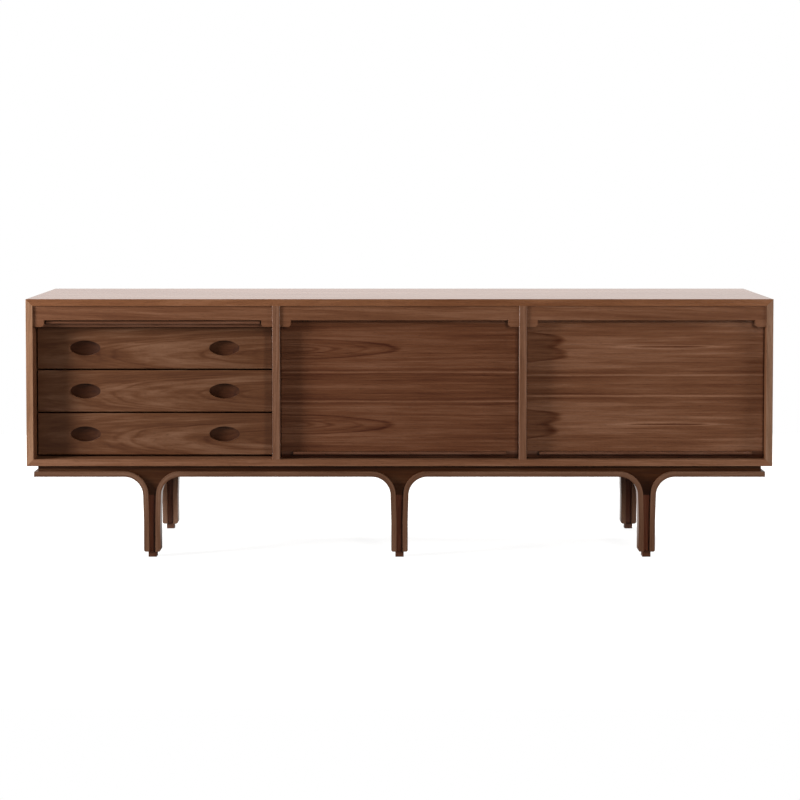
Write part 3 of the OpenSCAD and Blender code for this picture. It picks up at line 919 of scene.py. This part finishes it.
@dataclass
class Shutter:
    """One roll-up door: slats glued to canvas, behind a lead rail with a lip to pull."""

    bay: Bay
    figure: Figure
    mid: str  # middle tone of the slats
    rail_mid: str = "#573625"  # middle tone of the lead rail
    pitch: float = 760.333 * MM  # distance of the bays
    slat_l: float = 749.333 * MM  # over both tongues
    shoulder_l: float = 730.933 * MM  # between the tongues
    tongue_t: float = 5 * MM
    slat_w: float = 13.65 * MM
    slat_t: float = 9.2 * MM
    step: float = 13.8 * MM  # from one slat to the next
    bevel: float = 0.2 * MM
    canvas_t: float = 0.8 * MM
    canvas_w: float = 735.333 * MM
    canvas_gap: float = 0.02 * MM  # between the canvas and the slats, where the glue is
    canvas_rows: int = 121  # points along the canvas
    count: int = 30
    first_s: float = 21.9 * MM  # length of track below the lowest slat
    lift: float = 405 * MM
    stop_z: float = 735.2 * MM  # height that the slats are gathered up to
    stop_gap: float = 0.05 * MM
    least_h: float = 1 * MM  # a stored slat lower than this stays hidden in the bend
    fall_steps: int = 4001  # points of the curve that the stored slats come down by
    track: Track = Track()

    @property
    def raised(self) -> float:
        """How far the door is raised at rest."""
        return self.lift if self.bay is Bay.LEFT else 0.0

    @property
    def length(self) -> float:
        """Length of the curtain of slats."""
        return self.count * self.step - (self.step - self.slat_w)

    def bars(self, s: float, track: Track) -> list[Bar]:
        """Works out the body of a slat and the two tongues that run in the track.

        Args:
            s: length along the track to the slat's middle.
            track: the track that it is in.

        Returns:
            The three bars.
        """
        half, face, cut, ease = self.slat_w / 2, self.slat_t, self.bevel, 0.3 * self.bevel
        body = ((0, -half), (face - cut, -half), (face - ease, -half + ease), (face, -half + cut),
                (face, half - cut), (face - ease, half - ease), (face - cut, half), (0, half))
        tongue = ((0, -half), (self.tongue_t, -half), (self.tongue_t, half), (0, half))
        body, tongue = ([track.place(s, *corner) for corner in part] for part in (body, tongue))
        x, tip, shoulder = self.bay.value * self.pitch, self.slat_l / 2, self.shoulder_l / 2
        return [(body, x - shoulder, x + shoulder), (tongue, x - tip, x - shoulder),
                (tongue, x + shoulder, x + tip)]

    def shut_places(self) -> list[float]:
        """Lengths along the track to the slats' middles when the door is shut, lowest first."""
        return [self.first_s + i * self.step + self.step / 2 for i in range(self.count)]

    def slats(self, veneer: Material) -> Piece:
        """Builds the slats along the track.

        Args:
            veneer: their material.

        Returns:
            The slats.
        """
        solid = Solid()
        for shut in self.shut_places():
            bars = self.bars(shut + self.raised, self.track)
            for bar, (laid, _, _) in zip(bars, self.bars(shut, UPRIGHT)):
                solid.prism(*bar, laid)
        return solid.piece(f"{self.bay.word}_shutter_slats", veneer)

    def canvas(self, cotton: Material) -> Piece:
        """Builds the canvas behind the slats.

        Args:
            cotton: its material.

        Returns:
            The canvas.
        """
        solid, x, rows = Solid(), self.bay.value * self.pitch, self.canvas_rows
        places = self.first_s + np.linspace(0.0, self.length, rows)
        for end in (x - self.canvas_w / 2, x + self.canvas_w / 2):
            for behind in (self.canvas_gap, self.canvas_t):
                solid.points += [(end, *self.track.place(s + self.raised, -behind)) for s in places]
                solid.laid += [(end, *UPRIGHT.place(s, -behind)) for s in places]
        # Strips of four sides each, sharing their edges, so that the bend stays smooth.
        left_out, left_in, right_out, right_in = (k * rows for k in range(4))
        for a, b in ((left_out, right_out), (right_in, left_in), (left_in, left_out),
                     (right_out, right_in)):
            solid.faces += [(a + i, a + i + 1, b + i + 1, b + i) for i in range(rows - 1)]
        for i in (0, rows - 1):
            solid.faces.append((left_out + i, right_out + i, right_in + i, left_in + i))
        return solid.piece(f"{self.bay.word}_shutter_canvas", cotton)

    def hanging(self, veneer: Material) -> Piece:
        """Builds the slats that a raised door has yet to let down, gathered up at the stop.

        Where a point hangs in the lowered door follows a smooth step from the stop down, so each
        point's height in the gathered stack is found backwards from where it has to hang.

        Args:
            veneer: the slats' material.

        Returns:
            The stored slats.
        """
        solid = Solid()
        share = np.linspace(0.0, 1.0, self.fall_steps)
        reach = self.stop_z - (self.track.foot_z + self.first_s + self.lift)
        fallen = self.stop_z - share * reach - self.lift * share * share * (3 - 2 * share)
        for shut in self.shut_places():
            for outline, x0, x1 in self.bars(shut, UPRIGHT):
                low = [(y, min(z, self.stop_z - self.stop_gap)) for y, z in outline]
                if max(z for _, z in low) - min(z for _, z in low) < self.least_h:
                    continue
                stack = [(y, self.stop_z - reach * float(np.interp(-z, -fallen, share)))
                         for y, z in low]
                solid.prism(stack, x0, x1, outline)
        return solid.piece(f"{self.bay.word}_shutter_hanging", veneer)

    def dress_rail(self) -> list[Piece]:
        """Gives the lead rail its veneer, with a painted shadow under the lip of a shut door.

        Returns:
            The rail.
        """
        name = f"{self.bay.word}_lead_rail"
        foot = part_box(name)[0][2] / MM
        # Painted shadow: a shut door's rail is painted dark up to its lip, 11 mm above its foot,
        # where the lip's shadow falls.
        painted_lip_shadow = () if self.raised else (
            (foot - 5, -1.0), (foot + 10, -1.0), (foot + 12, 0.0), (foot + 30, 0.0))
        cut = Figure(heart=300, depth=260, rise=0.02, waver=0, streaks=painted_lip_shadow)
        return dress(Walnut(f"walnut_{name}", figure=cut, mid=self.rail_mid), "rail_walnut", name)

    def build(self) -> list[Piece]:
        """Builds the door and ties its slats and canvas to the case.

        Returns:
            The door's pieces.
        """
        word = self.bay.word
        veneer = Walnut(f"walnut_{word}_door_veneer", figure=self.figure, mid=self.mid,
                        laid=True).material()
        slats = self.slats(veneer)
        canvas = self.canvas(GluedCanvas(f"cotton_canvas_{word}").material())
        pieces = [*self.dress_rail(), slats, canvas]
        if self.raised:
            # The slats that a raised door has yet to let down, gathered up at the stop.
            hanging = self.hanging(veneer)
            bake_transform(hanging)
            pieces.append(hanging)
        for piece, node, slot in ((slats, "door_slats", "slat_veneer"),
                                  (canvas, "door_backing", "backing_linen")):
            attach(piece, "case")
            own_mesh(piece)
            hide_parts(f"{word}_{node}")
        return pieces


@dataclass
class Drawers:
    """Three drawers in the left bay: walnut fronts with scooped pulls, maple boxes and runners."""

    words: tuple[str, ...] = ("bottom", "middle", "top")
    # How far along each front and above its middle the heart of its veneer lies, mm.
    hearts: tuple[Point2, ...] = ((-80, -18), (-121, -9), (-111, -20))
    middle_x: float = -760 * MM
    rings: Marks = ((0, -0.2), (20, -0.1), (22, -0.5), (24, 0.1), (33, 0.0), (34.7, -0.7),
                    (36.5, 0.3), (42, 0.5), (56, 0.55), (59, 0.1), (60.5, -0.7), (62, 0.2),
                    (64, 0.1), (65.5, -0.6), (67, 0.1), (71, -0.4), (73, 0.1), (95, -0.1),
                    (130, 0.0))

    def build(self) -> list[Piece]:
        """Gives the fronts, boxes and runners their finishes.

        Returns:
            The drawers' pieces.
        """
        pieces = []
        for word, (along, up) in zip(self.words, self.hearts):
            name = f"{word}_drawer_front"
            low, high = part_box(name)
            cut = Figure(heart=(low[2] + high[2]) / 2 / MM + up, depth=60, face=-180, rise=-0.1,
                         middle=self.middle_x / MM + along, waver=6, straight=0.3, strength=0.18,
                         rings=self.rings)
            # Painted shade starts just under the face, so it darkens the scoops of the pulls and
            # the fronts' edges in the gaps between the drawers.
            veneer = Walnut(f"walnut_{name}", figure=cut, mid="#5c3923", painted_shade_from=-178.8)
            pieces += dress(veneer, "drawer_veneer", name)
        for finish, parts in (
            (BareMaple("maple_drawer_side", grain=Grain.ALONG_Y), ("left_side", "right_side")),
            (BareMaple("maple_drawer_back", grain=Grain.ALONG_X, dark="#ad8a61"), ("back", "base")),
        ):
            pieces += dress(finish, "drawer_box_maple",
                            *(f"{word}_drawer_{part}" for word in self.words for part in parts))
        runner = BareMaple("maple_runner", grain=Grain.ALONG_Y, dark="#a5825a", light="#cbaf86")
        return pieces + dress(runner, "runner_maple", "drawer_runners")


# ---- studio ----


@dataclass(frozen=True)
class Lamp:
    """A white soft box: where it stands, what it points at, its size and its power."""

    name: str
    at: Point
    to: Point
    width: float
    height: float
    watts: float
    glossy: bool = True

    def build(self) -> Piece:
        """Puts the lamp in the scene.

        Returns:
            The lamp.
        """
        data = bpy.data.lights.new(self.name, "AREA")
        data.shape, data.size, data.size_y = "ELLIPSE", self.width, self.height
        data.energy = self.watts
        lamp = show(self.name, data)
        lamp.location = self.at
        lamp.visible_glossy = self.glossy
        aim = Vector(self.to) - Vector(self.at)
        lamp.rotation_euler = aim.to_track_quat("-Z", "Y").to_euler()
        return lamp


@dataclass
class Studio:
    """Camera, soft boxes, white surroundings and the pale floor."""

    camera_at: Point = (0.0, -5.471, 1.204)
    camera_tilt: float = 87.95  # degrees up from straight down
    lens: float = 76.9
    sensor: float = 36.0
    shift: Point2 = (0.0006, -0.214)
    floor_low: Point2 = (-2.6, -1.7)
    floor_high: Point2 = (2.6, 2.2)
    floor_z: float = -0.5 * MM
    room_colour: str = "#fbfaf7"
    room_light: float = 0.09
    lamps: tuple[Lamp, ...] = (
        Lamp("left_softbox", (-4.8, -1.6, 1.6), (-0.6, -0.2, 0.5), 1.2, 2.4, 445),
        Lamp("right_softbox", (3.6, -1.15, 1.1), (0.6, -0.2, 0.5), 0.8, 1.0, 50),
        Lamp("front_softbox", (2.1, -4.5, 2.2), (0.0, -0.2, 0.5), 0.9, 2.8, 102, glossy=False),
        Lamp("rear_softbox", (0.0, 2.4, 4.0), (0.0, 0.1, 0.5), 2.4, 1.2, 262, glossy=False),
    )

    def build(self) -> list[Piece]:
        """Builds all of the studio.

        Returns:
            The camera, the lamps and the floor.
        """
        bpy.context.scene.view_settings.view_transform = "Standard"
        self.build_surroundings()
        return [self.build_camera(), *(lamp.build() for lamp in self.lamps), self.build_floor()]

    def build_camera(self) -> Piece:
        """Sets up the camera.

        Returns:
            The camera.
        """
        data = bpy.data.cameras.new("camera")
        data.lens, data.sensor_width = self.lens, self.sensor
        data.shift_x, data.shift_y = self.shift
        camera = show("camera", data)
        camera.location = self.camera_at
        camera.rotation_euler = (math.radians(self.camera_tilt), 0.0, 0.0)
        bpy.context.scene.camera = camera
        return camera

    def build_surroundings(self) -> None:
        """Makes the world: white to look at, and a low even light on the object."""
        world = bpy.data.worlds.new("studio")
        bpy.context.scene.world = world
        world.use_nodes = True
        tree = world.node_tree
        tree.nodes.clear()
        at = add(tree, "TexCoord").outputs["Generated"]
        back = add(tree, "SeparateXYZ", (at,)).outputs["Y"]
        shown, gloss, camera = seen_white(tree, back, turns=(0.05, 0.35), dim=0.03)
        either = add(tree, "Math", (gloss, camera), "MAXIMUM")
        white = add(tree, "Background", (linear("#ffffff"), shown))
        light = add(tree, "Background", (linear(self.room_colour), self.room_light))
        mixed = add(tree, "MixShader", (either, light, white))
        add(tree, "OutputWorld", (mixed,))

    def build_floor(self) -> Piece:
        """Lays the pale floor.

        Returns:
            The floor.
        """
        (x0, y0), (x1, y1), z = self.floor_low, self.floor_high, self.floor_z
        mesh = bpy.data.meshes.new("floor")
        mesh.from_pydata([(x0, y0, z), (x1, y0, z), (x1, y1, z), (x0, y1, z)], [], [(0, 1, 2, 3)])
        mesh.materials.append(PaleFloor("pale_floor").material())
        floor = show("floor", mesh)
        return floor


SHUTTERS = (
    # The raised door's lead rail is painted lighter than the shut doors' rails, to make up for the
    # fascia's shade over its lip.
    Shutter(Bay.LEFT, mid="#643f27", rail_mid="#67422e", figure=Figure(
        heart=110, depth=30, rise=0.06, mirror=531, face=-203, straight=0.6)),
    Shutter(Bay.CENTRE, mid="#5f3822", figure=Figure(
        heart=117, depth=30, rise=0.075, mirror=526, shift=18, middle=-4, face=-203, waver=5,
        straight=0.75, strength=0.26,
        rings=((0, -0.3), (7, -0.1), (8.5, -0.8), (10.5, 0.1), (12.5, 0.2), (14, -0.7), (16, 0.2),
               (21, 0.0), (22.5, -0.5), (24, 0.1), (28, -0.2), (30, -1.0), (32.5, 0.3), (40, 0.15),
               (50, 0.3), (62, 0.0), (90, 0.0)),
        streaks=((0, -0.15), (28, -0.2), (36, -0.5), (41, -0.2), (43.5, 0.9), (46.5, 0.7),
                 (49, -0.5), (54, -0.3), (60, 0.0), (240, 0.0)))),
    Shutter(Bay.RIGHT, mid="#69422b", figure=Figure(
        heart=119.5, depth=30, rise=0.075, mirror=530, shift=20, middle=510, face=-203, twin=25.5,
        dip=0.6, waver=4, straight=0.75, strength=0.26,
        rings=((0, -0.2), (12, -0.3), (20, -0.15), (27, -0.3), (30, -1.0), (32, 0.4), (38, 0.3),
               (52, 0.2), (66, 0.0), (90, 0.0)),
        streaks=((0, -0.1), (28, -0.35), (30.5, 0.8), (33.5, 0.8), (36, -0.4), (44, -0.5),
                 (52, 0.0), (240, 0.0)),
        flecks=(Fleck(835, 120, 230, 6),))),
)


def main() -> None:
    """Builds the sideboard piece by piece, then the studio round it."""
    logging.basicConfig(level=logging.INFO, format="%(name)s: %(message)s")
    for part in (Case(), *SHUTTERS, Drawers(), Base(), Studio()):
        for piece in part.build():
            finishes = ", ".join(slot.name for slot in piece.material_slots)
            LOG.info("%s %s: %s", type(part).__name__, piece.name, finishes)


if __name__ == "__main__":
    main()
